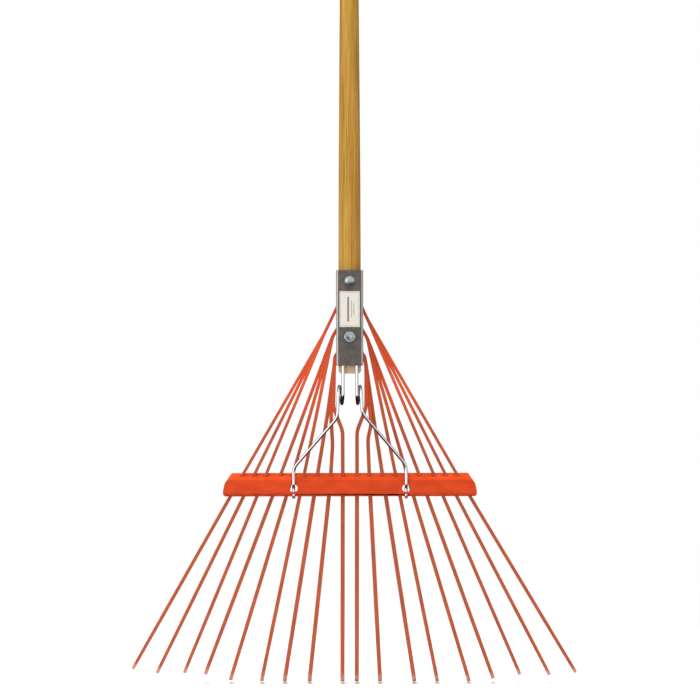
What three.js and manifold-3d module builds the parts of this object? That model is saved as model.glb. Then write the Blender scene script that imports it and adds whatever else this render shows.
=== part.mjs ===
// A leaf rake with a spring brace. Eighteen flat spring-steel tines fan out of a square sheet-steel socket,
// pass through a folded crossbar that spaces them, and hook over at their tips. They are nine hairpins of
// flat strip, nested in three rows of three behind the handle's end. A chromed wire brace with two coils
// springs the crossbar from the socket.
// Units are millimetres. +Z is up along the handle, +X is the right-hand side seen from the front, where
// the brace is, and the front faces -Y. Heights below are measured from the lowest tine tip. The origin is
// the middle of the hand grip, on the handle's axis.

import * as THREE from "three";
import { mergeVertices } from "three/addons/utils/BufferGeometryUtils.js";
import Module from "manifold-3d";

const wasm = await Module();
wasm.setup();

// ---- Driving dimensions ----

const gap = 0.3; // air between neighbouring pieces
const boltHeights = { upper: 441, lower: 380 };

const handle = {
  bottom: 340,
  length: 1219,
  gripBelowTop: 200,
  endRadius: 12.4,
  chamfer: 2.5,
  topRadius: 10,
  frontFlat: { depth: 9, top: 396 }, // seat of the brace's bend
  backFlat: { depth: 6.7, top: 431 }, // seat of the tine strips
};

const socket = { bottom: 348.7, top: 453, width: 29.7, depth: 29.9, wall: 2, corner: 3.5, seam: 0.6 };

const bolt = {
  radius: 3.15,
  headRadius: 6.4,
  headHeight: 3.8,
  washer: 1.5,
  nutFlats: 11.1,
  nut: 5.2,
  stub: 1.6, // what shows beyond the nut
};

const label = { width: 22, bottom: 391, top: 430, thickness: 0.3 };

const strip = { thickness: 1.6, pitch: 1.9 }; // pitch is from strip to strip in one row
const rowDepth = 9.7; // Y of a row's middle strip, and of every tine from the crossbar down
const settleHeight = 268; // from here down the strips draw together to the crossbar's slots

const bar = {
  middle: 218,
  halfLength: 139.2,
  sheet: 1.2,
  front: 4.2, // Y of the front face
  back: 14.2,
  bottom: 205,
  faceBottom: 208.3,
  faceTop: 224.2,
  top: 230.8,
  hole: { x: 61.7, z: 214.3, radius: 4.4 },
};

const wire = {
  radius: 1.75,
  y: -11.05, // of the legs and the coils' front
  legX: 7.4,
  bendTop: 390.4,
  coilRadius: 9.6,
  coilMiddle: 316.6,
  coilPitch: 5.2,
};

// Tines, from the outermost to the one beside the middle.
const tineBarX = [124, 110.5, 96.8, 80.2, 66, 52.5, 37.4, 21.7, 7.8];
const tineTipZ = {
  left: [14, 9.5, 9.5, 8, 1.6, 0.5, 0, 0, 0],
  right: [9.5, 7, 7.4, 3.2, 0, 0, 0, 0, 0],
};
const tineTipX = {
  left: [240, 213.2, 183.1, 160, 132.2, 97.8, 72.5, 45, 8.5],
  right: [249, 220, 187.4, 157.9, 131.3, 96.3, 71, 33, 7.3],
};
const hook = { angle: 74, radius: 8, straight: 22 };

// ---- Solids and booleans ----

function solidOf(geometry) {
  const plain = geometry.clone();
  plain.deleteAttribute("normal");
  plain.deleteAttribute("uv");
  const merged = mergeVertices(plain, 1e-4);
  return new wasm.Manifold(
    new wasm.Mesh({
      numProp: 3,
      vertProperties: new Float32Array(merged.attributes.position.array),
      triVerts: new Uint32Array(merged.index.array),
    }),
  );
}

function geometryOf(solid) {
  const mesh = solid.getMesh();
  const geometry = new THREE.BufferGeometry();
  geometry.setAttribute("position", new THREE.BufferAttribute(new Float32Array(mesh.vertProperties), 3));
  geometry.setIndex(new THREE.BufferAttribute(new Uint32Array(mesh.triVerts), 1));
  return geometry;
}

function cut(geometry, tools) {
  let solid = solidOf(geometry);
  for (const tool of tools) solid = solid.subtract(solidOf(tool));
  return geometryOf(solid);
}

function common(geometry, tool) {
  return geometryOf(solidOf(geometry).intersect(solidOf(tool)));
}

// ---- Shared shapes ----

// A box between two corners.
function block(x0, x1, y0, y1, z0, z1) {
  const box = new THREE.BoxGeometry(x1 - x0, y1 - y0, z1 - z0);
  return box.translate((x0 + x1) / 2, (y0 + y1) / 2, (z0 + z1) / 2);
}

// A cylinder along Y between two depths.
function crossPin(radius, y0, y1, x, z, sides) {
  const pin = new THREE.CylinderGeometry(radius, radius, y1 - y0, sides);
  return pin.translate(x, (y0 + y1) / 2, z);
}

// A path through corner points, each corner rounded to its own radius. It is sampled at the
// ends of its straight stretches and along its arcs, so an extrusion has no needless steps.
class RoundedPath extends THREE.Curve {
  constructor(corners) {
    super();
    this.stations = [];
    corners.forEach((corner, i) => {
      if (!corner.radius) this.stations.push(corner.at);
      else this.addArc(corners[i - 1].at, corner, corners[i + 1].at);
    });
  }

  addArc(before, { at, radius, steps = 4 }, after) {
    const into = at.clone().sub(before).normalize();
    const out = after.clone().sub(at).normalize();
    const half = into.angleTo(out) / 2;
    const centre = at.clone().addScaledVector(out.clone().sub(into).normalize(), radius / Math.cos(half));
    const start = at.clone().addScaledVector(into, -radius * Math.tan(half)).sub(centre);
    const axis = into.clone().cross(out).normalize();
    for (let i = 0; i <= steps; i++) {
      this.stations.push(start.clone().applyAxisAngle(axis, (2 * half * i) / steps).add(centre));
    }
  }

  get steps() {
    return this.stations.length - 1;
  }

  getUtoTmapping(u) {
    return u;
  }

  getPoint(t) {
    const along = THREE.MathUtils.clamp(t, 0, 1) * this.steps;
    const i = Math.min(Math.floor(along), this.steps - 1);
    return this.stations[i].clone().lerp(this.stations[i + 1], along - i);
  }
}

// The path of a flat strip, whose wide side always faces the front or, round a hook, up and down.
class StripPath extends RoundedPath {
  computeFrenetFrames(segments) {
    const tangents = [];
    const normals = [];
    const binormals = [];
    for (let i = 0; i <= segments; i++) {
      const tangent = this.getTangent(i / segments);
      const across = tangent.clone().cross(new THREE.Vector3(0, 1, 0)).normalize();
      tangents.push(tangent);
      normals.push(across);
      binormals.push(tangent.clone().cross(across));
    }
    return { tangents, normals, binormals };
  }
}

function sweep(path, section) {
  return new THREE.ExtrudeGeometry(section, { steps: path.steps, extrudePath: path });
}

function stripSection(width, thickness) {
  const section = new THREE.Shape();
  section.moveTo(-width / 2, -thickness / 2);
  section.lineTo(width / 2, -thickness / 2);
  section.lineTo(width / 2, thickness / 2);
  section.lineTo(-width / 2, thickness / 2);
  return section;
}

function roundSection(radius, sides) {
  const section = new THREE.Shape();
  for (let i = 0; i < sides; i++) {
    const angle = (2 * Math.PI * i) / sides;
    const place = i === 0 ? "moveTo" : "lineTo";
    section[place](radius * Math.cos(angle), radius * Math.sin(angle));
  }
  return section;
}

// ---- Handle ----

function handleGeometry() {
  const { bottom, length, endRadius, chamfer, topRadius } = handle;
  const top = bottom + length;
  const profile = [
    [0, bottom],
    [endRadius - chamfer, bottom],
    [endRadius, bottom + chamfer],
    [endRadius - 0.3, 470],
    [endRadius - 0.5, 555],
    [11.3, 640],
    [10.4, 750],
    [topRadius, 850],
    [topRadius, top - topRadius],
  ];
  for (let i = 1; i <= 4; i++) {
    const angle = (i * Math.PI) / 8;
    profile.push([topRadius * Math.cos(angle), top - topRadius + topRadius * Math.sin(angle)]);
  }
  profile[profile.length - 1][0] = 0;
  const turned = new THREE.LatheGeometry(profile.map(([r, z]) => new THREE.Vector2(r, z)), 28);
  turned.rotateX(Math.PI / 2);
  const wide = endRadius + 5;
  const { frontFlat, backFlat } = handle;
  return cut(turned, [
    block(-wide, wide, -wide, -frontFlat.depth, bottom - 1, frontFlat.top),
    block(-wide, wide, backFlat.depth, wide, bottom - 1, backFlat.top),
    crossPin(bolt.radius + gap, -wide, wide, 0, boltHeights.upper, 16),
    crossPin(bolt.radius + gap, -wide, wide, 0, boltHeights.lower, 16),
  ]);
}

// ---- Socket ----

// One quarter of a rounded rectangle, as the arc at one corner.
function cornerArc(shape, halfX, halfY, radius, quarter) {
  const signX = quarter === 0 || quarter === 3 ? 1 : -1;
  const signY = quarter < 2 ? 1 : -1;
  const start = (quarter * Math.PI) / 2;
  const x = signX * (halfX - radius);
  const y = signY * (halfY - radius);
  shape.absarc(x, y, radius, start, start + Math.PI / 2, false);
}

// Where the side walls are slotted, as the lowest and highest point of each row's slot.
// The lowest slot is open at the socket's bottom edge.
const slots = [
  [405, 421],
  [381, 397],
  [socket.bottom - 1, 369],
];

function socketGeometry() {
  const { width, depth, wall, corner, seam, bottom, top } = socket;
  const outer = new THREE.Shape();
  const inner = new THREE.Path();
  for (const quarter of [0, 1, 2, 3]) {
    cornerArc(outer, width / 2, depth / 2, corner, quarter);
    cornerArc(inner, width / 2 - wall, depth / 2 - wall, corner - wall, quarter);
  }
  outer.holes.push(inner);
  const height = top - bottom;
  const tube = new THREE.ExtrudeGeometry(outer, { depth: height, bevelEnabled: false, curveSegments: 4 });
  tube.translate(0, 0, bottom);
  const seamCut = block(-seam / 2, seam / 2, 0, depth, bottom - 1, top + 1);
  const slotCuts = slots.map(([z0, z1]) => block(-width, width, 6.4, depth / 2 - wall, z0, z1));
  const boltHole = bolt.radius + gap;
  const boltCuts = Object.values(boltHeights).map((z) => crossPin(boltHole, -depth, depth, 0, z, 16));
  return cut(tube, [seamCut, ...slotCuts, ...boltCuts]);
}

// ---- Bolts, washers and nuts ----

// Each fastener stands with its head at zero, its shank along +Z, and is then laid across the socket.
function boltGeometry(shank) {
  const { radius, headRadius, headHeight } = bolt;
  const profile = [new THREE.Vector2(0, -headHeight)];
  for (let i = 1; i <= 5; i++) {
    const angle = (i * Math.PI) / 10;
    profile.push(new THREE.Vector2(headRadius * Math.sin(angle), -headHeight * Math.cos(angle)));
  }
  profile[profile.length - 1].y = 0;
  profile.push(new THREE.Vector2(radius, 0), new THREE.Vector2(radius, shank - 0.8));
  profile.push(new THREE.Vector2(radius - 0.8, shank), new THREE.Vector2(0, shank));
  return new THREE.LatheGeometry(profile, 16).rotateX(Math.PI / 2);
}

function ringGeometry(outline, thickness) {
  outline.holes.push(new THREE.Path().absarc(0, 0, bolt.radius + gap, 0, 2 * Math.PI, true));
  return new THREE.ExtrudeGeometry(outline, { depth: thickness, bevelEnabled: false, curveSegments: 16 });
}

function washerGeometry() {
  const outline = new THREE.Shape().absarc(0, 0, bolt.headRadius - 0.4, 0, 2 * Math.PI, false);
  return ringGeometry(outline, bolt.washer);
}

function nutGeometry() {
  const across = bolt.nutFlats / Math.sqrt(3);
  return ringGeometry(roundSection(across, 6), bolt.nut);
}

// ---- Label ----

function labelGeometry() {
  const { width, bottom, top, thickness } = label;
  const front = -socket.depth / 2 - 0.05;
  return block(-width / 2, width / 2, front - thickness, front, bottom, top);
}

// ---- Tines ----

const at = (x, y, z) => new THREE.Vector3(x, y, z);

// How the strips of each row run: the arch behind the handle, then out through the socket's sides to
// where their tines part. The upper and middle rows are trestles; the lower row hooks over the lower bolt.
const rows = [
  {
    width: 3.5,
    arch: [{ x: 7, z: 427.3, radius: 6 }],
    part: { left: { x: 27.9, z: 384 }, right: { x: 19.4, z: 400 } },
  },
  {
    width: 3.8,
    arch: [{ x: 5, z: 402.8, radius: 5 }],
    part: { left: { x: 18.8, z: 381 }, right: { x: 19.4, z: 379 } },
  },
  {
    width: 4.2,
    arch: [{ x: 7, z: 386.5, radius: 6.9 }, { x: 7, z: 372, radius: 6 }, { x: 16.2, z: 358.5, radius: 6 }],
    part: { left: { x: 17, z: 349 }, right: { x: 18, z: 349 } },
  },
];

// Further bends of the three inner tines on their way to the crossbar.
const kink = [{ x: 18, z: 303 }, { x: 7.9, z: 277 }];
const innerBends = {
  6: { left: [{ x: 24.4, z: 296 }], right: [{ x: 26.4, z: 290 }] },
  7: {
    left: [{ x: 20.7, z: 293 }, { x: 18.9, z: 262 }],
    right: [{ x: 23.4, z: 284 }, { x: 19.8, z: 268 }],
  },
  8: { left: kink, right: kink },
};

const rowOf = (i) => rows[Math.floor(i / 3)];
const layerOf = (i) => rowDepth + (1 - (i % 3)) * strip.pitch;

// One tine, from where it parts from its row to its tip.
function tineCorners(i, side) {
  const sign = side === "left" ? -1 : 1;
  const layer = layerOf(i);
  const bends = innerBends[i] ? innerBends[i][side] : [];
  const last = bends.length ? bends[bends.length - 1] : rowOf(i).part[side];
  const corners = bends.map(({ x, z }) => ({ at: at(sign * x, layer, z) }));
  if (last.z > settleHeight) {
    const share = (last.z - settleHeight) / (last.z - bar.middle);
    const settleX = THREE.MathUtils.lerp(last.x, tineBarX[i], share);
    corners.push({ at: at(sign * settleX, layer, settleHeight) });
  }
  const middle = at(sign * tineBarX[i], rowDepth, bar.middle);
  corners.push({ at: middle });
  const angle = THREE.MathUtils.degToRad(hook.angle);
  const tip = at(sign * tineTipX[side][i], rowDepth, tineTipZ[side][i]);
  const down = tip.clone().sub(middle).normalize();
  const reach = hook.straight + hook.radius * Math.tan(angle / 2);
  const knee = tip.clone().addScaledVector(down, -reach * Math.cos(angle));
  const hooked = at(0, Math.sin(angle), 0).addScaledVector(down, Math.cos(angle));
  corners.push({ at: knee, radius: hook.radius, steps: 5 });
  corners.push({ at: knee.clone().addScaledVector(hooked, reach) });
  return corners;
}

// A hairpin of flat strip: the left tine, the arch behind the handle, and the right tine.
function hairpinPath(i) {
  const { arch, part } = rowOf(i);
  const half = (side, sign) =>
    [...arch, part[side]].map(({ x, z, radius }) => ({ at: at(sign * x, layerOf(i), z), radius }));
  const left = [...half("left", -1), ...tineCorners(i, "left")];
  const right = [...half("right", 1), ...tineCorners(i, "right")];
  return new StripPath([...left.reverse(), ...right]);
}

function hairpinGeometry(i) {
  return sweep(hairpinPath(i), stripSection(rowOf(i).width, strip.thickness));
}

// ---- Crossbar ----

// The folded section, as an outline of the sheet in Y and Z.
function barSection() {
  const { front, back, bottom, faceBottom, faceTop, top, sheet } = bar;
  const outside = [[back, bottom], [front, faceBottom], [front, faceTop], [back, top]];
  const inside = [[back, top - sheet * 1.25], [front + sheet, faceTop - sheet * 0.7]];
  inside.push([front + sheet, faceBottom + sheet * 0.8], [back, bottom + sheet * 1.1]);
  return new THREE.Shape([...outside, ...inside].map(([y, z]) => new THREE.Vector2(y, z)));
}

// The outline seen from the front, with its clipped upper corners.
function barOutline() {
  const edge = bar.halfLength;
  const lower = [[edge - 2.4, bar.bottom - 1], [edge, 207.5], [edge, 212]];
  const upper = [[edge - 1.7, 219.5], [edge - 10, bar.top + 1]];
  const half = [...lower, ...upper];
  const other = half.map(([x, z]) => [-x, z]).reverse();
  return new THREE.Shape([...half, ...other].map(([x, z]) => new THREE.Vector2(x, z)));
}

function barGeometry() {
  const drawn = { depth: 2 * bar.halfLength + 2, bevelEnabled: false };
  const folded = new THREE.ExtrudeGeometry(barSection(), drawn);
  // The section's X is the rake's Y, its Y is Z, and it is drawn out along X.
  const turn = new THREE.Matrix4().makeBasis(at(0, 1, 0), at(0, 0, 1), at(1, 0, 0));
  folded.applyMatrix4(turn).translate(-bar.halfLength - 1, 0, 0);
  const mask = new THREE.ExtrudeGeometry(barOutline(), { depth: 40, bevelEnabled: false });
  mask.rotateX(Math.PI / 2).translate(0, 30, 0);
  const clipped = common(folded, mask);
  const clearance = 2 * gap;
  const tools = [];
  for (const side of ["left", "right"]) {
    tineBarX.forEach((_, i) => {
      const through = tineCorners(i, side).slice(-4, -1).map((corner) => ({ at: corner.at }));
      const section = stripSection(rowOf(i).width + clearance, strip.thickness + clearance);
      tools.push(sweep(new StripPath(through), section));
    });
    const x = side === "left" ? -bar.hole.x : bar.hole.x;
    tools.push(crossPin(bar.hole.radius, 0, 8, x, bar.hole.z, 20));
    tools.push(block(x - 2.4, x + 2.4, 5.2, 10, bar.bottom - 2, bar.faceBottom + 1));
  }
  return cut(clipped, tools);
}

// ---- Brace ----

const coilBack = wire.y + wire.coilRadius;
const wireInBar = bar.front + bar.sheet + gap + wire.radius;
const wireOnBar = bar.front - gap - wire.radius;

// Each arm below its coil: two bends, then down the crossbar's face and through its hole.
const armBends = {
  left: [{ x: 13.6, z: 292 }, { x: 62, z: 236.5 }],
  right: [{ x: 13.4, z: 297 }, { x: 61.8, z: 239.5 }],
};

function coilStations(sign) {
  const stations = [];
  const turns = 16;
  for (let i = 0; i <= turns; i++) {
    const angle = (2 * Math.PI * i) / turns;
    const x = sign * (wire.legX + (wire.coilPitch * i) / turns);
    const y = coilBack - wire.coilRadius * Math.cos(angle);
    stations.push({ at: at(x, y, wire.coilMiddle - wire.coilRadius * Math.sin(angle)) });
  }
  return stations;
}

function armCorners(side) {
  const sign = side === "left" ? -1 : 1;
  const [outward, down] = armBends[side];
  const x = sign * bar.hole.x;
  return [
    ...coilStations(sign),
    { at: at(sign * outward.x, wire.y, outward.z), radius: 14, steps: 4 },
    { at: at(sign * down.x, wireOnBar, down.z), radius: 14, steps: 4 },
    { at: at(x, wireOnBar, bar.hole.z + 3.2), radius: 2.2, steps: 4 },
    { at: at(x, wireInBar, bar.hole.z + 1), radius: 2.2, steps: 4 },
    { at: at(x, wireInBar, bar.bottom - 2) },
  ];
}

function braceGeometry() {
  const bend = wire.legX - 0.1;
  const corners = [
    ...armCorners("left").reverse(),
    { at: at(-wire.legX, wire.y, wire.bendTop), radius: bend, steps: 4 },
    { at: at(wire.legX, wire.y, wire.bendTop), radius: bend, steps: 4 },
    ...armCorners("right"),
  ];
  return sweep(new RoundedPath(corners), roundSection(wire.radius, 8));
}

// ---- Materials ----

function finish(color, roughness, metalness) {
  return new THREE.MeshStandardMaterial({ color, roughness, metalness });
}

const varnishedWood = () => finish("#c79b4b", 0.5, 0);
const zincSheet = () => finish("#8f8c88", 0.35, 0.9);
const zincFastener = () => finish("#b5bab8", 0.3, 0.9);
const chromedWire = () => finish("#dfe3e6", 0.12, 1);
const orangePaint = () => finish("#d94e22", 0.4, 0);
const paper = () => finish("#efe9da", 0.7, 0);

// ---- Assembly ----

const rake = new THREE.Group();
rake.position.z = -(handle.bottom + handle.length - handle.gripBelowTop);

function piece(name, geometry, material) {
  const mesh = new THREE.Mesh(geometry, material);
  mesh.name = name;
  rake.add(mesh);
  return mesh;
}

// A bolt across the socket with its washer and nut. The head is at the front or, turned round, at the back.
function fastener(name, height, headAtFront) {
  const face = socket.depth / 2;
  const seat = face + gap / 2;
  const shank = 2 * face + bolt.washer + bolt.nut + bolt.stub + 2 * gap;
  const group = new THREE.Group();
  group.rotation.x = headAtFront ? -Math.PI / 2 : Math.PI / 2;
  group.position.set(0, headAtFront ? -seat : seat, height);
  const parts = [
    [`${name}_bolt`, boltGeometry(shank), 0],
    [`${name}_lock_washer`, washerGeometry(), 2 * face + gap],
    [`${name}_nut`, nutGeometry(), 2 * face + bolt.washer + 1.5 * gap],
  ];
  for (const [title, geometry, z] of parts) {
    const mesh = new THREE.Mesh(geometry, zincFastener());
    mesh.name = title;
    mesh.position.z = z;
    group.add(mesh);
  }
  rake.add(group);
}

piece("handle", handleGeometry(), varnishedWood());
piece("socket", socketGeometry(), zincSheet());
piece("label", labelGeometry(), paper());
fastener("upper", boltHeights.upper, true);
fastener("lower", boltHeights.lower, false);
tineBarX.forEach((_, i) => piece(`tine_pair_${i + 1}`, hairpinGeometry(i), orangePaint()));
piece("crossbar", barGeometry(), orangePaint());
piece("brace_spring", braceGeometry(), chromedWire());

export default rake;
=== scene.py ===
"""The looks of a leaf rake: a wooden handle, a zinc-plated socket, a fan of orange enamelled tines, a
folded crossbar and a chromed wire brace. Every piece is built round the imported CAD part.
Units are metres. +Z is up along the handle, +X is the right-hand side seen from the front, and the
front faces -Y."""

import math

import bmesh
import bpy
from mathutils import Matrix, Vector


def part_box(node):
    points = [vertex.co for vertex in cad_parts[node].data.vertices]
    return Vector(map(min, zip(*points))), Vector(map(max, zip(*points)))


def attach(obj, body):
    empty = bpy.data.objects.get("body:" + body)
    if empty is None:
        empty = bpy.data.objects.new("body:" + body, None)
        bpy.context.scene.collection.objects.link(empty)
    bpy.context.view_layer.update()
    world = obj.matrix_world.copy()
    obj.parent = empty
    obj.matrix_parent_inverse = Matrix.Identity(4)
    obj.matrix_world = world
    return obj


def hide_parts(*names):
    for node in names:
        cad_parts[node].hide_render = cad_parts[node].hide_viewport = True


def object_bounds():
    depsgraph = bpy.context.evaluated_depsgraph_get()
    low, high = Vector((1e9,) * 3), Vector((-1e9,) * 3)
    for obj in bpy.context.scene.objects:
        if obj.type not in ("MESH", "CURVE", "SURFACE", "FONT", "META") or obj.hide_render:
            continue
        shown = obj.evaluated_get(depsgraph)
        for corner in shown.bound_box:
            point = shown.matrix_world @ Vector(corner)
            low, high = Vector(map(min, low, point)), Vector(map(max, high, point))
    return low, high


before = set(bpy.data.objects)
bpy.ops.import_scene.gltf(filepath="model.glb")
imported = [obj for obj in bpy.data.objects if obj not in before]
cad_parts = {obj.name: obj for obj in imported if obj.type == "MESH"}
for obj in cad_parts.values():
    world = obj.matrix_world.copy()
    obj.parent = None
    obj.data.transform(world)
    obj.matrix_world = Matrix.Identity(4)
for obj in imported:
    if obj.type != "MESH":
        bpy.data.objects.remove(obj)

cad_low, cad_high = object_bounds()

# ---- Driving values ----

MM = 0.001
ORIGIN_HEIGHT = 1359  # heights are in millimetres above the tine tips, and the origin is this high
FORWARD = Vector((0, -1, 0))
BACKWARD = Vector((0, 1, 0))
DOWNWARD = Vector((0, 0, -1))

HANDLE_SIDES = 96
FRONT_FLAT_TOP = 396
BACK_FLAT_TOP = 431
FLAT_LEDGE = 0.02 * MM
VARNISH_ENDS = (352, 346)  # it gives way to bare wood over this range, painted lighter as painted light inside the socket's shade

BOLT_RADIUS = 3.15 * MM
BOLT_CLEARANCE = 0.3 * MM
THREAD_LENGTH = 9 * MM
THREAD_PITCH = 0.9 * MM
THREAD_DEPTH = 0.35 * MM
HEAD_HEIGHT = 3.8 * MM
HEAD_BEVEL = 0.5 * MM
POINT_RADIUS = 0.02 * MM  # stands for zero, since a ring can't shrink to a point
BORE_REACH = 40 * MM
BORE_SIDES = 32
WASHER_CUT = 8  # degrees from the middle of the cut to each end of the ring
WASHER_RING = 0.8  # the ring's thickness as a share of the sprung washer's

SHEET = 2 * MM
SOCKET_CORNER = 3.5 * MM
SOCKET_SLOTS = ((405, 421), (381, 397), (340, 369))
SLOT_FRONT = 6.4 * MM
SEAM = 0.6 * MM

STRIP_EDGE = 0.45 * MM
STRIP_BEND = 5 * MM
NARROW_ABOVE, WIDE_BELOW = 0.97, 1.08  # the strips are rolled a little wider below the crossbar
CROSSBAR_HEIGHT = 218
BRIGHTER_FROM = (270, 330)  # the enamel turns brighter over this range
LONGEST_STRIP_STEP = 20 * MM
WORN_LENGTH = 46 * MM
INNER_WEAR = 0.45  # the inside of a hook wears less than its outside, which meets the ground

WIRE_SIDES = 20
COIL_HEIGHT = 316.6
WIRE_DARK_ENDS = (207, 205.5)  # below this the wire's ends are coloured dark orange-brown
WIRE_BEND = 2.5 * MM
LONGEST_WIRE_STEP = 15 * MM

FOLD_RADIUS = 1.3 * MM

LABEL_INSET = 1.3 * MM
LABEL_BORDER = 0.22 * MM
LABEL_RULES = ((-1.6, 2.2, 27), (2.2, 0.7, 19), (4.6, 0.7, 13))  # offset, width and length in millimetres

FLOOR_FADE = (0.3, 1.1)

VIEW_HEIGHT = 365.9
VIEW_ASIDE = 0.3 * MM
VIEW_WIDTH = 0.7665
VIEW_DISTANCE = 3.6
VIEW_ROLL = math.radians(0.08)


def height(mm):
    """The frame's Z of a height in millimetres above the tine tips."""
    return (mm - ORIGIN_HEIGHT) * MM


# ---- Mesh helpers ----

def make_piece(name, verts, faces):
    mesh = bpy.data.meshes.new(name)
    mesh.from_pydata(verts, [], faces)
    mesh.update()
    piece = bpy.data.objects.new(name, mesh)
    bpy.context.scene.collection.objects.link(piece)
    return piece


def shade_smooth(piece, angle=40):
    """Smooth shading that keeps edges sharper than the angle, with flat faces left flat."""
    for polygon in piece.data.polygons:
        polygon.use_smooth = True
    piece.data.set_sharp_from_angle(angle=math.radians(angle))
    weighted = piece.modifiers.new("weighted_normals", "WEIGHTED_NORMAL")
    weighted.keep_sharp = True


def bevel_edges(piece, width, segments=2, angle=35):
    bevel = piece.modifiers.new("worn_edges", "BEVEL")
    bevel.width = width
    bevel.segments = segments
    bevel.limit_method = "ANGLE"
    bevel.angle_limit = math.radians(angle)


def loft(rings, around=False, capped=True):
    """Faces between rings of equally many points. With around, the last ring joins the first."""
    count = len(rings[0])
    faces = []
    pairs = len(rings) if around else len(rings) - 1
    for r in range(pairs):
        a, b = r * count, ((r + 1) % len(rings)) * count
        faces += [(a + i, a + (i + 1) % count, b + (i + 1) % count, b + i) for i in range(count)]
    if capped and not around:
        faces.append(tuple(reversed(range(count))))
        faces.append(tuple(range((len(rings) - 1) * count, len(rings) * count)))
    return [point for ring in rings for point in ring], faces


def circle(radius, sides, along):
    return [Vector((radius * math.cos(a), radius * math.sin(a), along))
            for a in (2 * math.pi * i / sides for i in range(sides))]


def turned(name, profile, sides):
    """A solid turned about Z from (radius, z) points."""
    return make_piece(name, *loft([circle(radius, sides, z) for radius, z in profile]))


def box_piece(name, low, high):
    corners = [(low[0], low[1]), (high[0], low[1]), (high[0], high[1]), (low[0], high[1])]
    rings = [[Vector((x, y, z)) for x, y in corners] for z in (low[2], high[2])]
    return make_piece(name, *loft(rings))


def combine(piece, tool, operation):
    """Cuts the piece with another solid, or keeps what they share, and removes the other solid."""
    boolean = piece.modifiers.new("combine", "BOOLEAN")
    boolean.operation = operation
    boolean.solver = "EXACT"
    boolean.object = tool
    depsgraph = bpy.context.evaluated_depsgraph_get()
    result = bpy.data.meshes.new_from_object(piece.evaluated_get(depsgraph))
    piece.modifiers.clear()
    piece.data = result
    bpy.data.objects.remove(tool)


def bore_for_bolts(piece):
    """Two round holes right through along Y, at the bolts' heights."""
    outline = circle(BOLT_RADIUS + BOLT_CLEARANCE, BORE_SIDES, 0)
    for node in ("upper_bolt", "lower_bolt"):
        low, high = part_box(node)
        middle = (low.z + high.z) / 2
        rings = [[Vector((point.x, y, middle + point.y)) for point in outline]
                 for y in (BORE_REACH, -BORE_REACH)]
        combine(piece, make_piece("bore", *loft(rings)), "DIFFERENCE")


def lay_across(piece, centre, outward):
    """Turns a piece made along Z so that its +Z points outward along Y, with its origin at the centre."""
    sign = outward.y
    for vertex in piece.data.vertices:
        x, y, z = vertex.co
        vertex.co = centre + Vector((x * sign, z * sign, y))


def stand_for(piece, node):
    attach(piece, "root")
    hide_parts(node)


# ---- Paths read from the frame ----

def swept_rings(node, end):
    """The cross-sections of a swept CAD node, from its left end, the part furthest along end, onwards."""
    mesh = bmesh.new()
    mesh.from_mesh(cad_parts[node].data)
    bmesh.ops.remove_doubles(mesh, verts=mesh.verts, dist=0.001 * MM)
    left = [v for v in mesh.verts if v.co.x < 0]
    furthest = max(v.co.dot(end) for v in left)
    ring = {v for v in left if v.co.dot(end) > furthest - 0.6 * MM}
    seen = set()
    rings = []
    while ring:
        rings.append([v.co.copy() for v in ring])
        seen |= ring
        ring = {edge.other_vert(v) for v in ring for edge in v.link_edges} - seen
    mesh.free()
    return rings


def centre_of(points):
    return sum(points, Vector()) / len(points)


def eased_path(points, reach, longest):
    """Rounds every corner of a path over at most reach, and adds points so that no step is over longest."""
    path = [points[0]]
    for before, corner, after in zip(points, points[1:], points[2:]):
        start = corner.lerp(before, min(0.5, reach / (corner - before).length))
        finish = corner.lerp(after, min(0.5, reach / (corner - after).length))
        for step in range(5):
            t = step / 4
            path.append(start.lerp(corner, t).lerp(corner.lerp(finish, t), t))
    path.append(points[-1])
    even = [path[0]]
    for point in path[1:]:
        span = point - even[-1]
        if span.length < 0.01 * MM:
            continue
        parts = math.ceil(span.length / longest)
        start = even[-1]
        even += [start + span * (k / parts) for k in range(1, parts + 1)]
    return even


def tangents(path):
    last = len(path) - 1
    return [(path[min(k + 1, last)] - path[max(k - 1, 0)]).normalized() for k in range(last + 1)]


def rounded_section(width, thickness, radius, steps=3):
    """A rounded rectangle as (across, through) offsets."""
    section = []
    for quarter, (sx, sy) in enumerate(((1, 1), (-1, 1), (-1, -1), (1, -1))):
        for step in range(steps + 1):
            angle = (quarter + step / steps) * math.pi / 2
            section.append((sx * (width / 2 - radius) + radius * math.cos(angle),
                            sy * (thickness / 2 - radius) + radius * math.sin(angle)))
    return section


def add_attribute(piece, name, values):
    attribute = piece.data.attributes.new(name, "FLOAT", "POINT")
    attribute.data.foreach_set("value", values)


# ---- Node helper ----

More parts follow.
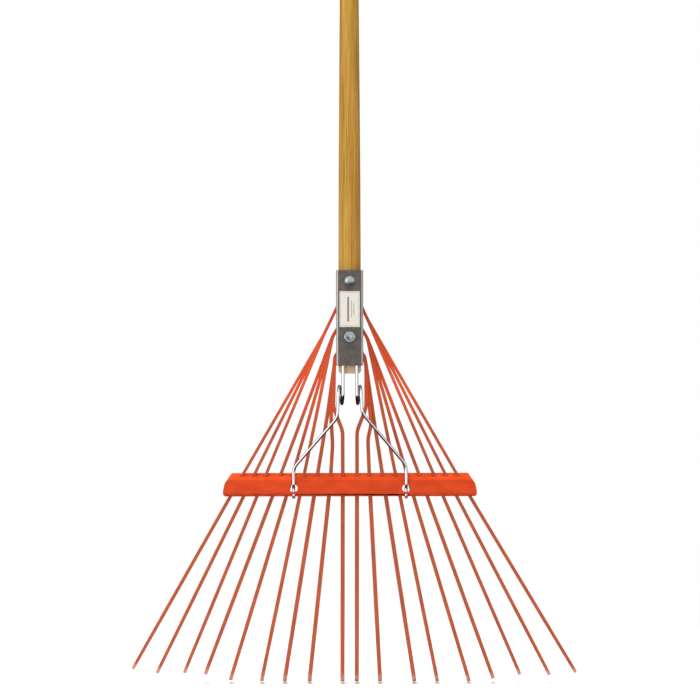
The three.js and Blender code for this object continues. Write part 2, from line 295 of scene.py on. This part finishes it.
class Finish:
    """A material under construction, with a short call for each kind of node it uses."""

    def __init__(self, name, settings):
        self.material = bpy.data.materials.new(name)
        self.material.use_nodes = True
        self.tree = self.material.node_tree
        self.shader = self.tree.nodes["Principled BSDF"]
        for key, value in settings.items():
            self.shader.inputs[key].default_value = value
        self.coordinates = self.tree.nodes.new("ShaderNodeTexCoord").outputs["Object"]

    def link(self, value, socket):
        if hasattr(value, "is_linked"):
            self.tree.links.new(value, socket)
        else:
            socket.default_value = value

    def stretched(self, scale):
        mapping = self.tree.nodes.new("ShaderNodeMapping")
        mapping.inputs["Scale"].default_value = scale
        self.link(self.coordinates, mapping.inputs["Vector"])
        return mapping.outputs["Vector"]

    def noise(self, scale, stretch=(1, 1, 1), detail=3, distortion=0):
        noise = self.tree.nodes.new("ShaderNodeTexNoise")
        noise.inputs["Scale"].default_value = scale
        noise.inputs["Detail"].default_value = detail
        noise.inputs["Distortion"].default_value = distortion
        self.link(self.stretched(stretch), noise.inputs["Vector"])
        return noise.outputs["Fac"]

    def cells(self, scale, stretch=(1, 1, 1)):
        cells = self.tree.nodes.new("ShaderNodeTexVoronoi")
        cells.inputs["Scale"].default_value = scale
        self.link(self.stretched(stretch), cells.inputs["Vector"])
        split = self.tree.nodes.new("ShaderNodeSeparateColor")
        self.link(cells.outputs["Color"], split.inputs["Color"])
        return split.outputs["Red"]

    def attribute(self, name):
        attribute = self.tree.nodes.new("ShaderNodeAttribute")
        attribute.attribute_name = name
        return attribute.outputs["Fac"]

    def axis(self, name):
        split = self.tree.nodes.new("ShaderNodeSeparateXYZ")
        self.link(self.coordinates, split.inputs["Vector"])
        return split.outputs[name]

    def math(self, operation, a, b=0.0):
        node = self.tree.nodes.new("ShaderNodeMath")
        node.operation = operation
        self.link(a, node.inputs[0])
        self.link(b, node.inputs[1])
        return node.outputs[0]

    def remap(self, value, low, high, to_low=0.0, to_high=1.0):
        node = self.tree.nodes.new("ShaderNodeMapRange")
        node.interpolation_type = "SMOOTHSTEP"
        self.link(value, node.inputs["Value"])
        for key, number in zip(("From Min", "From Max", "To Min", "To Max"), (low, high, to_low, to_high)):
            node.inputs[key].default_value = number
        return node.outputs["Result"]

    def ramp(self, value, stops):
        node = self.tree.nodes.new("ShaderNodeValToRGB")
        elements = node.color_ramp.elements
        while len(elements) < len(stops):
            elements.new(0.5)
        for element, (position, colour) in zip(elements, stops):
            element.position = position
            element.color = (*colour, 1)
        self.link(value, node.inputs["Fac"])
        return node.outputs["Color"]

    def mix(self, share, a, b):
        node = self.tree.nodes.new("ShaderNodeMix")
        node.data_type = "RGBA"
        self.link(share, node.inputs["Factor"])
        for value, socket in ((a, node.inputs["A"]), (b, node.inputs["B"])):
            self.link((*value, 1) if isinstance(value, tuple) else value, socket)
        return node.outputs["Result"]

    def colour(self, value):
        self.link(value, self.shader.inputs["Base Color"])

    def rough(self, value):
        self.link(value, self.shader.inputs["Roughness"])

    def bump(self, value, depth, strength=1.0):
        node = self.tree.nodes.new("ShaderNodeBump")
        node.inputs["Distance"].default_value = depth
        node.inputs["Strength"].default_value = strength
        self.link(value, node.inputs["Height"])
        self.link(node.outputs["Normal"], self.shader.inputs["Normal"])


# ---- Materials ----

def varnished_wood():
    """Golden ash with long, fine grain under a satin varnish, and bare wood at its lower end, painted extra
    light as painted light against the socket's shade.
    """
    satin = {"Coat Weight": 0.1, "Coat Roughness": 0.35, "Specular IOR Level": 0.25}
    wood = Finish("varnished_wood", satin)
    grain = wood.noise(700, stretch=(1, 1, 0.025), detail=5, distortion=0.3)
    bands = wood.noise(120, stretch=(1, 1, 0.03), detail=2)
    pores = wood.noise(2200, stretch=(1, 1, 0.02), detail=1)
    tone = wood.math("ADD", wood.math("MULTIPLY", grain, 0.6), wood.math("MULTIPLY", bands, 0.4))
    dark, middle, light = (0.25, 0.12, 0.014), (0.41, 0.212, 0.028), (0.52, 0.3, 0.056)
    body = wood.ramp(tone, [(0.36, dark), (0.5, middle), (0.64, light)])
    dark_pores = wood.remap(pores, 0.62, 0.72)
    streaked = wood.mix(wood.math("MULTIPLY", dark_pores, 0.35), body, (0.2, 0.09, 0.02))
    # partly real bare wood and partly painted light: the lower end is painted pale to lift it out of the
    # shade inside the socket
    bare_and_lightened = wood.remap(wood.axis("Z"), height(VARNISH_ENDS[0]), height(VARNISH_ENDS[1]), 0, 0.85)
    wood.colour(wood.mix(bare_and_lightened, streaked, (0.8, 0.56, 0.37)))
    wood.rough(wood.remap(grain, 0.3, 0.7, 0.52, 0.38))
    wood.bump(grain, 0.12 * MM, 0.35)
    return wood.material


def zinc_sheet():
    """Dull zinc plate on folded sheet, faintly mottled, with a painted highlight in pale grey along the
    front corners.
    """
    zinc = Finish("zinc_sheet", {"Metallic": 0.45, "Specular IOR Level": 0.3})
    spangle = zinc.cells(420, stretch=(1, 1, 0.6))
    cloud = zinc.noise(160, detail=4)
    rubs = zinc.noise(900, stretch=(1, 1, 0.05), detail=2)
    tone = zinc.math("ADD", zinc.math("MULTIPLY", spangle, 0.25), zinc.math("MULTIPLY", cloud, 0.75))
    plate = zinc.ramp(tone, [(0.3, (0.095, 0.08, 0.07)), (0.7, (0.135, 0.118, 0.108))])
    low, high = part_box("socket")
    from_front = zinc.math("SUBTRACT", zinc.axis("Y"), low.y)
    from_middle = zinc.math("ABSOLUTE", zinc.axis("X"))
    # painted highlight: the front corners are painted pale grey to stand in for the bright reflections
    # along them
    painted_highlight = zinc.math("MULTIPLY", zinc.remap(from_middle, high.x - 2.2 * MM, high.x - 1.8 * MM),
                       zinc.remap(from_front, 2.6 * MM, 2.1 * MM))
    zinc.colour(zinc.mix(painted_highlight, plate, (0.52, 0.5, 0.48)))
    zinc.rough(zinc.remap(rubs, 0.3, 0.7, 0.27, 0.34))
    zinc.bump(cloud, 0.08 * MM, 0.15)
    return zinc.material


def zinc_fastener():
    """Bright zinc plate on bolts and nuts, a little blue, with handling marks."""
    zinc = Finish("zinc_fastener", {"Metallic": 1.0})
    marks = zinc.noise(900, detail=4)
    zinc.colour(zinc.ramp(marks, [(0.35, (0.32, 0.36, 0.38)), (0.65, (0.56, 0.6, 0.62))]))
    zinc.rough(zinc.remap(marks, 0.3, 0.7, 0.3, 0.42))
    zinc.bump(marks, 0.25 * MM, 0.7)
    return zinc.material


def coil_shade_mask(chrome):
    """Where shade is painted in the coils: 1 on the lower inward side of each coil and on the back of its
    upper half, and 0 elsewhere.
    """
    from_middle = chrome.math("ABSOLUTE", chrome.axis("X"))
    above = chrome.math("SUBTRACT", chrome.axis("Z"), height(COIL_HEIGHT))
    in_coil = chrome.remap(chrome.math("ABSOLUTE", above), 14 * MM, 12 * MM)
    inward = chrome.remap(from_middle, 11.6 * MM, 11 * MM)
    lower = chrome.remap(above, 0.2 * MM, -1.3 * MM)
    back = chrome.remap(chrome.axis("Y"), -7.5 * MM, -6 * MM)
    upper = chrome.remap(above, -1.3 * MM, 0.7 * MM)
    front_part = chrome.math("MULTIPLY", inward, lower)
    back_part = chrome.math("MULTIPLY", upper, back)
    return chrome.math("MULTIPLY", in_coil, chrome.math("MAXIMUM", front_part, back_part))


def chromed_wire():
    """Polished chrome plate over drawn wire, with painted shade in the coils standing in for dark
    reflections, and dark orange-brown at its ends.
    """
    chrome = Finish("chromed_wire", {"Metallic": 1.0})
    haze = chrome.noise(500, detail=3)
    plate = chrome.ramp(haze, [(0.35, (0.74, 0.76, 0.79)), (0.65, (0.86, 0.88, 0.9))])
    # painted shade: the coils are painted near-black where they would reflect the dark room below
    coil_shaded = chrome.mix(coil_shade_mask(chrome), plate, (0.13, 0.125, 0.12))
    # the wire's ends below the crossbar are coloured dark orange-brown
    darker_ends = chrome.remap(chrome.axis("Z"), height(WIRE_DARK_ENDS[0]), height(WIRE_DARK_ENDS[1]))
    chrome.colour(chrome.mix(darker_ends, coil_shaded, (0.3, 0.1, 0.06)))
    chrome.rough(chrome.remap(haze, 0.3, 0.7, 0.06, 0.14))
    chrome.bump(chrome.noise(1500, stretch=(1, 1, 0.1)), 0.05 * MM, 0.2)
    return chrome.material


def orange_bar_paint():
    """Glossy orange-red enamel with an uneven, slightly rippled coat."""
    paint = Finish("orange_bar_paint", {"Specular IOR Level": 0.2})
    depth = paint.noise(60, stretch=(1, 1, 2), detail=3)
    specks = paint.noise(1400, detail=2)
    body = paint.ramp(depth, [(0.35, (0.53, 0.047, 0.006)), (0.65, (0.63, 0.058, 0.009))])
    paint.colour(paint.mix(paint.remap(specks, 0.66, 0.74, 0, 0.3), body, (0.42, 0.04, 0.01)))
    paint.rough(paint.remap(depth, 0.3, 0.7, 0.34, 0.44))
    paint.bump(paint.noise(380, detail=2), 0.08 * MM, 0.35)
    return paint.material


def orange_tine_paint():
    """The same enamel, painted darker along the strips' edges as shade, and worn to pale primer and steel
    at their tips, where the pale part is also a painted highlight.
    """
    paint = Finish("orange_tine_paint", {"Specular IOR Level": 0.2})
    flow = paint.noise(200, stretch=(1, 1, 0.2), detail=4)
    # the enamel is coloured a brighter orange above a given height and a duller one below it
    lower_orange = paint.ramp(flow, [(0.35, (0.41, 0.065, 0.021)), (0.65, (0.51, 0.085, 0.028))])
    brighter_higher_up = paint.remap(paint.axis("Z"), height(BRIGHTER_FROM[0]), height(BRIGHTER_FROM[1]))
    body = paint.mix(brighter_higher_up, lower_orange, (0.8, 0.085, 0.02))
    # painted shade: the strips' edges are painted darker brown to stand in for the shading along them
    edge = paint.math("MULTIPLY", paint.attribute("edge"), paint.remap(flow, 0.25, 0.6, 0.95, 0.65))
    edge_shaded = paint.mix(edge, body, (0.3, 0.085, 0.035))
    scuffs = paint.noise(1100, detail=3)
    uneven = paint.math("MULTIPLY", paint.math("SUBTRACT", scuffs, 0.5), 0.8)
    tip_wear_and_highlight = paint.math("ADD", paint.attribute("tip_wear_and_highlight"), uneven)
    # partly real wear to pale primer and partly a painted highlight: the tips are painted pale where they
    # would catch the light
    painted_highlight = paint.mix(paint.remap(tip_wear_and_highlight, 0.3, 0.62), edge_shaded, (0.74, 0.32, 0.2))
    paint.colour(paint.mix(paint.remap(tip_wear_and_highlight, 0.86, 1.02), painted_highlight, (0.42, 0.4, 0.38)))
    paint.rough(paint.remap(flow, 0.3, 0.7, 0.36, 0.5))
    paint.bump(scuffs, 0.06 * MM, 0.4)
    return paint.material


def paper_label():
    """A cream label with a plain border and three plain rules in place of print."""
    low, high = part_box("label")
    paper = Finish("paper_label", {"Roughness": 0.62})
    fibres = paper.noise(900, detail=5)
    sheet = paper.ramp(fibres, [(0.3, (0.66, 0.625, 0.54)), (0.7, (0.74, 0.705, 0.62))])
    across, up = paper.axis("X"), paper.axis("Z")
    middle_x, middle_z = (low.x + high.x) / 2, (low.z + high.z) / 2
    from_side = paper.math("ABSOLUTE", paper.math("SUBTRACT", across, middle_x))
    from_end = paper.math("ABSOLUTE", paper.math("SUBTRACT", up, middle_z))
    inset_x = paper.math("SUBTRACT", (high.x - low.x) / 2 - LABEL_INSET, from_side)
    inset_z = paper.math("SUBTRACT", (high.z - low.z) / 2 - LABEL_INSET, from_end)
    nearest = paper.math("ABSOLUTE", paper.math("MINIMUM", inset_x, inset_z))
    border = paper.math("LESS_THAN", nearest, LABEL_BORDER)
    printed = paper.math("MULTIPLY", border, 0.5)
    for offset, wide, long in LABEL_RULES:
        aside = paper.math("ABSOLUTE", paper.math("SUBTRACT", across, middle_x + offset * MM))
        rule = paper.math("MULTIPLY", paper.math("LESS_THAN", aside, wide / 2 * MM),
                          paper.math("LESS_THAN", from_end, long / 2 * MM))
        printed = paper.math("MAXIMUM", printed, paper.math("MULTIPLY", rule, 0.8))
    paper.colour(paper.mix(printed, sheet, (0.1, 0.095, 0.09)))
    paper.bump(fibres, 0.05 * MM, 0.3)
    return paper.material


# ---- Handle ----

def handle_profile():
    """The handle's turned outline, read from the CAD node's rows of points.
    Rows of 8 points or fewer belong to the bolt holes or the very tip, and are passed over."""
    rows = {}
    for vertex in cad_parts["handle"].data.vertices:
        spot = (round(vertex.co.x, 5), round(vertex.co.y, 5))
        rows.setdefault(round(vertex.co.z, 5), set()).add(spot)
    round_rows = [(z, spots) for z, spots in sorted(rows.items()) if len(spots) > 8]
    return [(max(math.hypot(*spot) for spot in spots), z) for z, spots in round_rows]


def with_rows(profile, heights):
    """Adds rows to a turned outline at the given heights."""
    rows = list(profile)
    for z in heights:
        for (r0, z0), (r1, z1) in zip(profile, profile[1:]):
            if z0 < z < z1:
                rows.append((r0 + (r1 - r0) * (z - z0) / (z1 - z0), z))
    return sorted(rows, key=lambda row: row[1])


def make_handle():
    """The turned handle with a flat at the front and a taller one at the back of its lower end."""
    low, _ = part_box("handle")
    foot = [v.co.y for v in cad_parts["handle"].data.vertices if v.co.z < low.z + 3 * MM]
    front_flat, back_flat = min(foot), max(foot)
    front_top, back_top = height(FRONT_FLAT_TOP), height(BACK_FLAT_TOP)
    ledges = [front_top, front_top + FLAT_LEDGE, back_top, back_top + FLAT_LEDGE]
    profile = with_rows(handle_profile(), ledges)
    rings = [circle(radius, HANDLE_SIDES, z) for radius, z in profile]
    for ring in rings:
        for point in ring:
            if point.z <= front_top + FLAT_LEDGE / 2:
                point.y = max(point.y, front_flat)
            if point.z <= back_top + FLAT_LEDGE / 2:
                point.y = min(point.y, back_flat)
    piece = make_piece("wood_handle", *loft(rings))
    bore_for_bolts(piece)
    bevel_edges(piece, 0.5 * MM, segments=3, angle=50)
    shade_smooth(piece)
    piece.data.materials.append(varnished_wood())
    stand_for(piece, "handle")


# ---- Socket ----

def make_socket():
    """The folded square tube, open along its seam at the back and slotted on both sides for the tines."""
    low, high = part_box("socket")
    width, depth = high.x - low.x, high.y - low.y
    outer = rounded_section(width, depth, SOCKET_CORNER, steps=10)
    inner = rounded_section(width - 2 * SHEET, depth - 2 * SHEET, SOCKET_CORNER - SHEET, steps=10)
    rings = [[Vector((x, y, z)) for x, y in outline]
             for outline, z in ((outer, low.z), (outer, high.z), (inner, high.z), (inner, low.z))]
    piece = make_piece("socket_sheet", *loft(rings, around=True))
    past = 1 * MM
    seam = box_piece("seam", (-SEAM / 2, 0, low.z - past), (SEAM / 2, depth, high.z + past))
    combine(piece, seam, "DIFFERENCE")
    for bottom, top in SOCKET_SLOTS:
        slot_low = (-width, SLOT_FRONT, height(bottom))
        slot_high = (width, high.y - SHEET, height(top))
        combine(piece, box_piece("slot", slot_low, slot_high), "DIFFERENCE")
    bore_for_bolts(piece)
    bevel_edges(piece, 0.3 * MM, segments=3, angle=50)
    shade_smooth(piece)
    piece.data.materials.append(zinc_sheet())
    stand_for(piece, "socket")


# ---- Bolts, nuts and lock washers ----

def dome_profile(radius):
    """The head's outline, from the middle of its dome down to its flat seat."""
    steps = 12
    angles = [math.pi / 2 * i / steps for i in range(steps + 1)]
    arc = [(radius * math.sin(a), -HEAD_HEIGHT * math.cos(a)) for a in angles]
    arc[0] = (POINT_RADIUS, arc[0][1])
    arc[-1] = (radius, -HEAD_BEVEL)
    return arc + [(radius - 0.1 * MM, 0)]


def thread_profile(start, finish):
    rows = []
    z = start
    while z + THREAD_PITCH < finish - 0.4 * MM:
        rows += [(BOLT_RADIUS, z), (BOLT_RADIUS - THREAD_DEPTH, z + THREAD_PITCH / 2)]
        z += THREAD_PITCH
    return rows + [(BOLT_RADIUS, z), (BOLT_RADIUS, finish - 0.5 * MM), (BOLT_RADIUS - 0.5 * MM, finish)]


def upset_end(piece, finish):
    """Hammers the bolt's end over: a spread rim and a dented face."""
    reach = 1.4 * MM
    depth = 0.35 * MM
    for vertex in piece.data.vertices:
        close = max(0.0, 1 - (finish - vertex.co.z) / reach)
        angle = math.atan2(vertex.co.y, vertex.co.x)
        spread = 1 + close * (0.22 + 0.1 * math.sin(3 * angle + 1) + 0.06 * math.sin(7 * angle))
        vertex.co.x *= spread
        vertex.co.y *= spread
        dent = depth * math.sin(2 * angle + 0.6) * math.hypot(vertex.co.x, vertex.co.y) / BOLT_RADIUS
        vertex.co.z += close * (dent - depth)


def make_bolt(node, outward, upset):
    """A bolt whose head lies on the side that outward points to."""
    low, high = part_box(node)
    radius = (high.z - low.z) / 2
    long = (high.y - low.y) - HEAD_HEIGHT
    profile = dome_profile(radius) + [(BOLT_RADIUS, 0.02 * MM), (BOLT_RADIUS, long - THREAD_LENGTH)]
    profile += thread_profile(long - THREAD_LENGTH + 0.1 * MM, long)
    profile.append((POINT_RADIUS, long))
    piece = turned(f"{node}_turned", profile, 48)
    if upset:
        upset_end(piece, long)
    seat_y = low.y + HEAD_HEIGHT if outward.y < 0 else high.y - HEAD_HEIGHT
    lay_across(piece, Vector((0, seat_y, (low.z + high.z) / 2)), -outward)
    shade_smooth(piece, 50)
    return piece


def make_nut(node, outward):
    """A hexagon nut with its corners chamfered on both faces."""
    low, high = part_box(node)
    thick = high.y - low.y
    corner = (high.x - low.x) / 2
    flats = corner * math.cos(math.pi / 6)
    hexagon = [circle(corner, 6, 0), circle(corner, 6, thick)]
    piece = make_piece(f"{node}_hexagon", *loft(hexagon))
    face, rim = flats * 0.97, corner * 1.01
    slope = (corner - face) * 0.6
    chamfer = [(face, 0), (rim, slope), (rim, thick - slope), (face, thick)]
    combine(piece, turned("chamfer", chamfer, 64), "INTERSECT")
    hole = [(BOLT_RADIUS + BOLT_CLEARANCE, -1 * MM), (BOLT_RADIUS + BOLT_CLEARANCE, thick + 1 * MM)]
    combine(piece, turned("hole", hole, 40), "DIFFERENCE")
    seat_y = high.y if outward.y < 0 else low.y
    lay_across(piece, Vector((0, seat_y, (low.z + high.z) / 2)), outward)
    bevel_edges(piece, 0.15 * MM, segments=2, angle=25)
    shade_smooth(piece, 30)
    return piece


def make_lock_washer(node, outward):
    """A split ring, sprung a little apart at its cut."""
    low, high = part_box(node)
    thick = (high.y - low.y) * WASHER_RING
    spring = (high.y - low.y) - thick
    outside = (high.z - low.z) / 2
    inside = BOLT_RADIUS + BOLT_CLEARANCE
    rings = []
    steps = 60
    for step in range(steps + 1):
        angle = math.radians(WASHER_CUT + (360 - 2 * WASHER_CUT) * step / steps)
        rise = spring * step / steps
        corners = ((inside, 0), (outside, 0), (outside, thick), (inside, thick))
        rings.append([Vector((r * math.cos(angle), r * math.sin(angle), z + rise)) for r, z in corners])
    piece = make_piece(f"{node}_ring", *loft(rings))
    seat_y = high.y if outward.y < 0 else low.y
    lay_across(piece, Vector((0, seat_y, (low.z + high.z) / 2)), outward)
    bevel_edges(piece, 0.15 * MM)
    shade_smooth(piece)
    return piece


def make_fasteners():
    """The upper bolt's head is at the front. The lower one's is at the back, its end upset over the nut."""
    finish = zinc_fastener()
    for name, head_side, upset in (("upper", FORWARD, False), ("lower", BACKWARD, True)):
        pieces = {
            f"{name}_bolt": make_bolt(f"{name}_bolt", head_side, upset),
            f"{name}_nut": make_nut(f"{name}_nut", -head_side),
            f"{name}_lock_washer": make_lock_washer(f"{name}_lock_washer", -head_side),
        }
        for node, piece in pieces.items():
            piece.data.materials.append(finish)
            stand_for(piece, node)


# ---- Tines ----

def strip_axes(tangent):
    """The directions across a strip's width and through its thickness, where it runs along the tangent."""
    across = tangent.cross(BACKWARD).normalized()
    return across, tangent.cross(across)


def strip_size(ring, centre, tangent):
    """A strip's width and thickness, measured on one of its cross-sections."""
    return [2 * max(abs((point - centre).dot(axis)) for point in ring) for axis in strip_axes(tangent)]


def lengths_along(path):
    lengths = [0.0]
    for a, b in zip(path, path[1:]):
        lengths.append(lengths[-1] + (b - a).length)
    return lengths


def breadth_at(z):
    """A strip's breadth at a height, as a share of the CAD width, changing over 30 mm at the crossbar."""
    above = min(1, max(0, (z - height(CROSSBAR_HEIGHT)) / (30 * MM) + 0.5))
    return WIDE_BELOW + (NARROW_ABOVE - WIDE_BELOW) * above


def make_tine_pair(node, paint):
    """One hairpin of flat strip, swept along the CAD node's own path with rounded edges."""
    cad_rings = swept_rings(node, BACKWARD)
    centres = [centre_of(ring) for ring in cad_rings]
    width, thickness = strip_size(cad_rings[0], centres[0], (centres[1] - centres[0]).normalized())
    path = eased_path(centres, STRIP_BEND, LONGEST_STRIP_STEP)
    section = rounded_section(width, thickness, STRIP_EDGE)
    rings, edge, tip_wear_and_highlight = [], [], []
    lengths = lengths_along(path)
    for point, tangent, along in zip(path, tangents(path), lengths):
        across, through = strip_axes(tangent)
        broad = breadth_at(point.z)
        rings.append([point + across * (u * broad) + through * v for u, v in section])
        edge += [(abs(u) / (width / 2)) ** 3 for u, _ in section]
        # the tip mask carries both the wear and the painted highlight at the tips
        from_tip = min(along, lengths[-1] - along)
        worn = max(0, 1 - from_tip / WORN_LENGTH)
        tip_wear_and_highlight += [worn if v > 0 else INNER_WEAR * worn for _, v in section]
    piece = make_piece(f"{node}_strip", *loft(rings))
    add_attribute(piece, "edge", edge)
    add_attribute(piece, "tip_wear_and_highlight", tip_wear_and_highlight)
    shade_smooth(piece, 60)
    piece.data.materials.append(paint)
    stand_for(piece, node)


def make_tines():
    paint = orange_tine_paint()
    for node in sorted(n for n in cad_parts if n.startswith("tine_pair_")):
        make_tine_pair(node, paint)


# ---- Crossbar ----

def is_front_fold(edge, front):
    """Whether an edge runs level along the front face, as the channel's two long folds do."""
    near = 0.05 * MM
    a, b = (vertex.co for vertex in edge.verts)
    return abs(a.x - b.x) > 2 * MM and abs(a.z - b.z) < near and max(a.y, b.y) < front + near


def make_crossbar():
    """The folded channel, with its two long folds rounded as bent sheet is and its cut edges eased."""
    low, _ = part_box("crossbar")
    mesh = bmesh.new()
    mesh.from_mesh(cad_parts["crossbar"].data)
    bmesh.ops.remove_doubles(mesh, verts=mesh.verts, dist=0.001 * MM)
    flat = math.radians(0.5)
    bmesh.ops.dissolve_limit(mesh, angle_limit=flat, verts=mesh.verts, edges=mesh.edges)
    folds = [edge for edge in mesh.edges if is_front_fold(edge, low.y)]
    bmesh.ops.bevel(mesh, geom=folds, offset=FOLD_RADIUS, segments=5, profile=0.5, affect="EDGES")
    piece = bpy.data.objects.new("crossbar_channel", bpy.data.meshes.new("crossbar_channel"))
    mesh.to_mesh(piece.data)
    mesh.free()
    bpy.context.scene.collection.objects.link(piece)
    bevel_edges(piece, 0.2 * MM, segments=2, angle=35)
    shade_smooth(piece, 35)
    piece.data.materials.clear()
    piece.data.materials.append(orange_bar_paint())
    stand_for(piece, "crossbar")


# ---- Brace ----

def make_brace():
    """One round wire along the CAD node's own path, from the left arm's end to the right arm's."""
    rings = swept_rings("brace_spring", DOWNWARD)
    centres = [centre_of(ring) for ring in rings]
    radius = max((point - centres[0]).length for point in rings[0])
    path = eased_path(centres, WIRE_BEND, LONGEST_WIRE_STEP)
    along = tangents(path)
    side = along[0].orthogonal().normalized()
    wire = []
    for k, (point, tangent) in enumerate(zip(path, along)):
        if k:
            side.rotate(along[k - 1].rotation_difference(tangent))
        other = tangent.cross(side)
        offsets = circle(radius, WIRE_SIDES, 0)
        wire.append([point + side * offset.x + other * offset.y for offset in offsets])
    piece = make_piece("brace_wire", *loft(wire))
    bevel_edges(piece, 0.3 * MM, segments=3, angle=60)
    shade_smooth(piece, 60)
    piece.data.materials.append(chromed_wire())
    stand_for(piece, "brace_spring")


# ---- Label ----

def make_label():
    """The CAD label stays, with a paper finish."""
    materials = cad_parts["label"].data.materials
    materials.clear()
    materials.append(paper_label())


# ---- Studio ----

def pale_floor():
    """A pale floor at the tips, which fades into the white background with distance."""
    size = 3.2
    middle = (cad_low + cad_high) / 2
    corners = [(-size, -size), (size, -size), (size, size), (-size, size)]
    verts = [Vector((middle.x + x, middle.y + y, cad_low.z - 0.2 * MM)) for x, y in corners]
    floor = make_piece("pale_floor", verts, [(0, 1, 2, 3)])
    finish = Finish("floor_paint", {"Roughness": 0.9, "Base Color": (0.82, 0.82, 0.82, 1)})
    distance = finish.math("SQRT", finish.math("ADD", finish.math("POWER", finish.axis("X"), 2.0),
                                               finish.math("POWER", finish.axis("Y"), 2.0)))
    shown = finish.remap(distance, FLOOR_FADE[0], FLOOR_FADE[1], 1, 0)
    tree = finish.tree
    clear = tree.nodes.new("ShaderNodeBsdfTransparent")
    blend = tree.nodes.new("ShaderNodeMixShader")
    finish.link(shown, blend.inputs[0])
    finish.link(clear.outputs[0], blend.inputs[1])
    finish.link(finish.shader.outputs[0], blend.inputs[2])
    finish.link(blend.outputs[0], tree.nodes["Material Output"].inputs["Surface"])
    floor.data.materials.append(finish.material)
    floor.visible_glossy = False


def world_fade(tree, direction, start, end, first, last):
    """A strength that goes from first to last as the direction looked in goes from start to end."""
    toward = tree.nodes.new("ShaderNodeSeparateXYZ")
    tree.links.new(tree.nodes.new("ShaderNodeTexCoord").outputs["Generated"], toward.inputs["Vector"])
    node = tree.nodes.new("ShaderNodeMapRange")
    tree.links.new(toward.outputs[direction], node.inputs["Value"])
    for key, number in (("From Min", start), ("From Max", end), ("To Min", first), ("To Max", last)):
        node.inputs[key].default_value = number
    return node.outputs["Result"]


def studio_world():
    """White light, stronger behind the rake, and for reflections a room darker behind it and below."""
    world = bpy.data.worlds.new("studio")
    bpy.context.scene.world = world
    world.use_nodes = True
    tree = world.node_tree
    link = tree.links.new
    room = tree.nodes.new("ShaderNodeMath")
    room.operation = "MULTIPLY"
    link(world_fade(tree, "Y", -0.3, 0.2, 1, 0.1), room.inputs[0])
    link(world_fade(tree, "Z", -0.35, 0.0, 0.07, 1), room.inputs[1])
    rays = tree.nodes.new("ShaderNodeLightPath").outputs
    reflected = tree.nodes["Background"]
    link(room.outputs["Value"], reflected.inputs["Strength"])
    reflected.inputs["Color"].default_value = (1, 1, 1, 1)
    shader = reflected.outputs[0]
    for kind in ("Is Diffuse Ray", "Is Camera Ray"):
        even = tree.nodes.new("ShaderNodeBackground")
        even.inputs["Color"].default_value = (1, 1, 1, 1)
        if kind == "Is Diffuse Ray":
            link(world_fade(tree, "Y", 0.3, 0.8, 0.4, 1.1), even.inputs["Strength"])
        choice = tree.nodes.new("ShaderNodeMixShader")
        link(rays[kind], choice.inputs[0])
        link(shader, choice.inputs[1])
        link(even.outputs[0], choice.inputs[2])
        shader = choice.outputs[0]
    link(shader, tree.nodes["World Output"].inputs["Surface"])


def softbox(name, place, target, width, tall, power):
    light = bpy.data.lights.new(name, "AREA")
    light.shape = "RECTANGLE"
    light.size = width
    light.size_y = tall
    light.energy = power
    lamp = bpy.data.objects.new(name, light)
    lamp.location = place
    lamp.rotation_euler = (Vector(target) - Vector(place)).to_track_quat("-Z", "Y").to_euler()
    bpy.context.scene.collection.objects.link(lamp)
    return lamp


def studio_lights():
    head = (0, 0, height(260))
    softbox("left_softbox", (-1.2, -1.2, height(520)), head, 0.6, 1.8, 7)
    top = softbox("top_softbox", (-0.2, -0.4, height(2000)), head, 1.8, 1.4, 60)
    top.visible_glossy = False


def front_camera():
    """A straight front view of the head through a long lens."""
    camera = bpy.data.cameras.new("front_camera")
    camera.sensor_width = 36
    camera.lens = camera.sensor_width * VIEW_DISTANCE / VIEW_WIDTH
    camera.clip_end = 50
    holder = bpy.data.objects.new("front_camera", camera)
    holder.location = (VIEW_ASIDE, -VIEW_DISTANCE, height(VIEW_HEIGHT))
    holder.rotation_euler = (math.pi / 2, VIEW_ROLL, 0)
    bpy.context.scene.collection.objects.link(holder)
    bpy.context.scene.camera = holder


make_handle()
make_socket()
make_label()
make_fasteners()
make_tines()
make_crossbar()
make_brace()
pale_floor()
studio_world()
studio_lights()
front_camera()
bpy.context.scene.view_settings.view_transform = "Standard"
